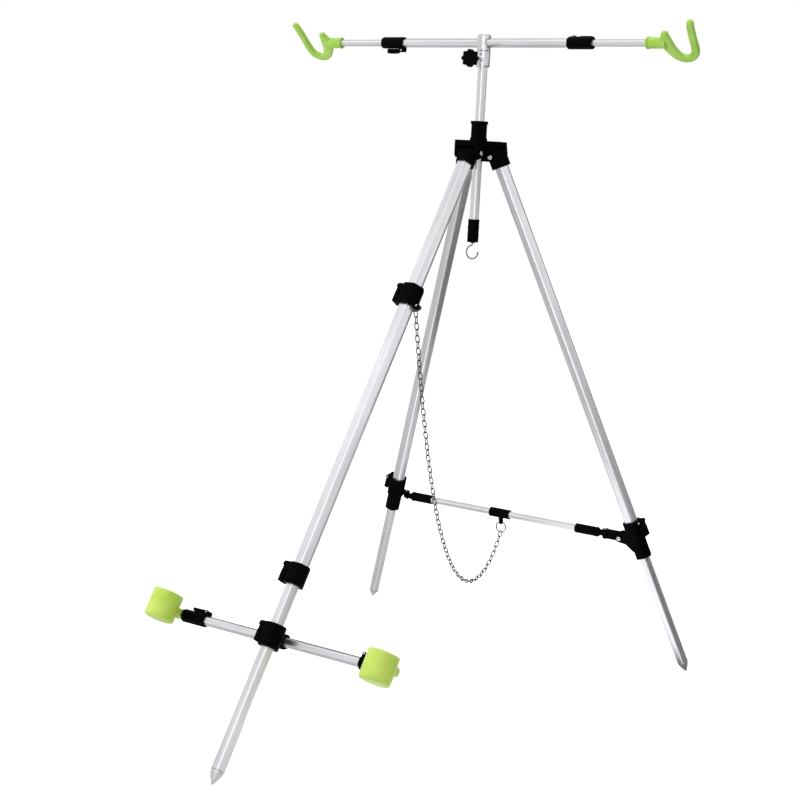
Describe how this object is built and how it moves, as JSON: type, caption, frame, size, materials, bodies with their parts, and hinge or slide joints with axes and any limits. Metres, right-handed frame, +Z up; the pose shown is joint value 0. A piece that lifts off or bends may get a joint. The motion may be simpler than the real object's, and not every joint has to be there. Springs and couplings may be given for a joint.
{
  "type": "fishing rod tripod",
  "caption": "Telescopic fishing tripod with a sliding column, a cross bar with rod rests, a butt bar with cups on the front leg, a rear brace, a bag hook and a chain.",
  "frame": {"origin": "centre of the bounding box's base, on the ground under the stand", "axes": "+Z up, +X towards the stand's right, the front leg reaches out to -Y"},
  "size_m": [0.8628, 0.9366, 1.2144],
  "materials": {
    "aluminium": "brushed hexagonal tube, bare metal",
    "black_plastic": "moulded, fine grain",
    "lime_plastic": "translucent moulded, soft sheen",
    "bright_steel": "bright wire"
  },
  "bodies": {
    "crown": {"crown": "black_plastic", "column_collar": "black_plastic", "chain_middle": "bright_steel"},
    "column": {"column_tube": "aluminium", "column_end_cap": "black_plastic", "column_hook": "bright_steel", "tee_lower": "aluminium"},
    "star_knob": {"star_knob": "black_plastic"},
    "crossbar": {"tee_upper": "aluminium", "crossbar_tube": "aluminium", "crossbar_clamp_left": "black_plastic", "crossbar_clamp_right": "black_plastic"},
    "front_leg": {"front_leg_socket": "black_plastic", "front_leg_tube": "aluminium", "chain_collar": "black_plastic", "front_leg_lock": "black_plastic", "ring_upper": "bright_steel", "chain_upper": "bright_steel"},
    "chain_collar_lever": {"chain_collar_lever": "black_plastic"},
    "front_leg_lock_lever": {"front_leg_lock_lever": "black_plastic"},
    "front_lower": {"front_lower_tube": "aluminium", "front_spike": "aluminium"},
    "butt_collar": {"butt_collar": "black_plastic", "butt_bar_tube": "aluminium", "butt_clamp_left": "black_plastic", "butt_clamp_right": "black_plastic"},
    "butt_collar_lever": {"butt_collar_lever": "black_plastic"},
    "brace": {"brace_link": "black_plastic", "brace_end_right": "black_plastic", "brace_end_left": "black_plastic", "brace_tube": "aluminium", "brace_clip": "black_plastic", "ring_lower": "bright_steel", "chain_lower": "bright_steel"},
    "crossbar_lever_left": {"crossbar_lever_left": "black_plastic"},
    "crossbar_rod_left": {"crossbar_rod_left": "aluminium", "rod_rest_left": "lime_plastic"},
    "butt_lever_left": {"butt_lever_left": "black_plastic"},
    "butt_rod_left": {"butt_rod_left": "aluminium", "butt_cup_left": "lime_plastic"},
    "rear_left_leg": {"rear_left_socket": "black_plastic", "rear_left_tube": "aluminium", "rear_left_bracket": "black_plastic"},
    "rear_left_lever": {"rear_left_lever": "black_plastic"},
    "rear_left_lower": {"rear_left_lower_tube": "aluminium", "rear_left_spike": "aluminium"},
    "crossbar_lever_right": {"crossbar_lever_right": "black_plastic"},
    "crossbar_rod_right": {"crossbar_rod_right": "aluminium", "rod_rest_right": "lime_plastic"},
    "butt_lever_right": {"butt_lever_right": "black_plastic"},
    "butt_rod_right": {"butt_rod_right": "aluminium", "butt_cup_right": "lime_plastic"},
    "rear_right_leg": {"rear_right_socket": "black_plastic", "rear_right_tube": "aluminium", "rear_right_bracket": "black_plastic"},
    "rear_right_lever": {"rear_right_lever": "black_plastic"},
    "rear_right_lower": {"rear_right_lower_tube": "aluminium", "rear_right_spike": "aluminium"}
  },
  "joints": [
    {"name": "front_leg_fold", "type": "hinge", "parent": "crown", "child": "front_leg", "pos_m": [0, 0.23775, 0.97392], "axis": [1, 0, 0], "range_deg": [0, 32], "deforming": ["chain_upper", "chain_middle"]},
    {"name": "rear_right_fold", "type": "hinge", "parent": "crown", "child": "rear_right_leg", "pos_m": [0.029, 0.28664, 0.97067], "axis": [0, 0.9841, 0.1775], "range_deg": [0, 14]},
    {"name": "rear_left_fold", "type": "hinge", "parent": "crown", "child": "rear_left_leg", "pos_m": [-0.029, 0.28664, 0.97067], "axis": [0, 0.9841, 0.1775], "range_deg": [-14, 0]},
    {"name": "brace_swing", "type": "hinge", "parent": "rear_right_leg", "child": "brace", "pos_m": [0.24823, 0.41563, 0.25539], "axis": [0, 0.9841, 0.1775], "range_deg": [-102, 0], "deforming": ["chain_lower"]},
    {"name": "column_slide", "type": "slide", "parent": "crown", "child": "column", "axis": [0, 0.0663, 0.9978], "range_m": [-0.09, 0.09]},
    {"name": "crossbar_swivel", "type": "hinge", "parent": "column", "child": "crossbar", "pos_m": [0, 0.27986, 1.17026], "axis": [0, 0.0663, 0.9978], "continuous": true},
    {"name": "knob_turn", "type": "hinge", "parent": "column", "child": "star_knob", "pos_m": [0, 0.23494, 1.14278], "axis": [0, -0.9978, 0.0663], "continuous": true},
    {"name": "crossbar_rod_left_slide", "type": "slide", "parent": "crossbar", "child": "crossbar_rod_left", "axis": [-1, 0, 0], "range_m": [-0.09, 0.06]},
    {"name": "crossbar_lever_left_flip", "type": "hinge", "parent": "crossbar", "child": "crossbar_lever_left", "pos_m": [-0.1802, 0.27895, 1.15661], "axis": [0, -0.9978, 0.0663], "range_deg": [0, 95]},
    {"name": "crossbar_rod_right_slide", "type": "slide", "parent": "crossbar", "child": "crossbar_rod_right", "axis": [1, 0, 0], "range_m": [-0.09, 0.06]},
    {"name": "crossbar_lever_right_flip", "type": "hinge", "parent": "crossbar", "child": "crossbar_lever_right", "pos_m": [0.1802, 0.29213, 1.17631], "axis": [0, -0.4415, 0.8973], "range_deg": [0, 95]},
    {"name": "chain_collar_lever_flip", "type": "hinge", "parent": "front_leg", "child": "chain_collar_lever", "pos_m": [-0.02343, 0.06824, 0.7401], "axis": [0, 0.8096, -0.587], "range_deg": [0, 95]},
    {"name": "front_leg_lock_lever_flip", "type": "hinge", "parent": "front_leg", "child": "front_leg_lock_lever", "pos_m": [-0.02238, -0.24695, 0.30534], "axis": [0, 0.8096, -0.587], "range_deg": [0, 95]},
    {"name": "butt_collar_lever_flip", "type": "hinge", "parent": "butt_collar", "child": "butt_collar_lever", "pos_m": [-0.02178, -0.30976, 0.21871], "axis": [0, 0.8096, -0.587], "range_deg": [0, 95]},
    {"name": "front_lower_slide", "type": "slide", "parent": "front_leg", "child": "front_lower", "axis": [0, 0.587, 0.8096], "range_m": [-0.07, 0.03]},
    {"name": "butt_collar_slide", "type": "slide", "parent": "front_lower", "child": "butt_collar", "axis": [0, 0.587, 0.8096], "range_m": [-0.15, 0.035]},
    {"name": "butt_rod_left_slide", "type": "slide", "parent": "butt_collar", "child": "butt_rod_left", "axis": [-1, 0, 0], "range_m": [0, 0.06]},
    {"name": "butt_lever_left_flip", "type": "hinge", "parent": "butt_collar", "child": "butt_lever_left", "pos_m": [-0.1692, -0.28646, 0.20313], "axis": [0, 0.8096, -0.587], "range_deg": [0, 95]},
    {"name": "butt_rod_right_slide", "type": "slide", "parent": "butt_collar", "child": "butt_rod_right", "axis": [1, 0, 0], "range_m": [0, 0.06]},
    {"name": "butt_lever_right_flip", "type": "hinge", "parent": "butt_collar", "child": "butt_lever_right", "pos_m": [0.1692, -0.28646, 0.20313], "axis": [0, -0.8096, 0.587], "range_deg": [0, 95]},
    {"name": "rear_left_lower_slide", "type": "slide", "parent": "rear_left_leg", "child": "rear_left_lower", "axis": [0.3302, -0.1675, 0.9289], "range_m": [-0.1, 0.18]},
    {"name": "rear_left_lever_flip", "type": "hinge", "parent": "rear_left_leg", "child": "rear_left_lever", "pos_m": [-0.2919, 0.4087, 0.29383], "axis": [0, 0.9841, 0.1775], "range_deg": [0, 95]},
    {"name": "rear_right_lower_slide", "type": "slide", "parent": "rear_right_leg", "child": "rear_right_lower", "axis": [-0.3302, -0.1675, 0.9289], "range_m": [-0.1, 0.18]},
    {"name": "rear_right_lever_flip", "type": "hinge", "parent": "rear_right_leg", "child": "rear_right_lever", "pos_m": [0.2919, 0.4087, 0.29383], "axis": [0, -0.9841, -0.1775], "range_deg": [0, 95]}
  ],
  "couplings": [
    {"joint": "rear_left_fold", "follows": "rear_right_fold", "ratio": -1},
    {"joint": "brace_swing", "follows": "rear_right_fold", "ratio": -7.25}
  ]
}
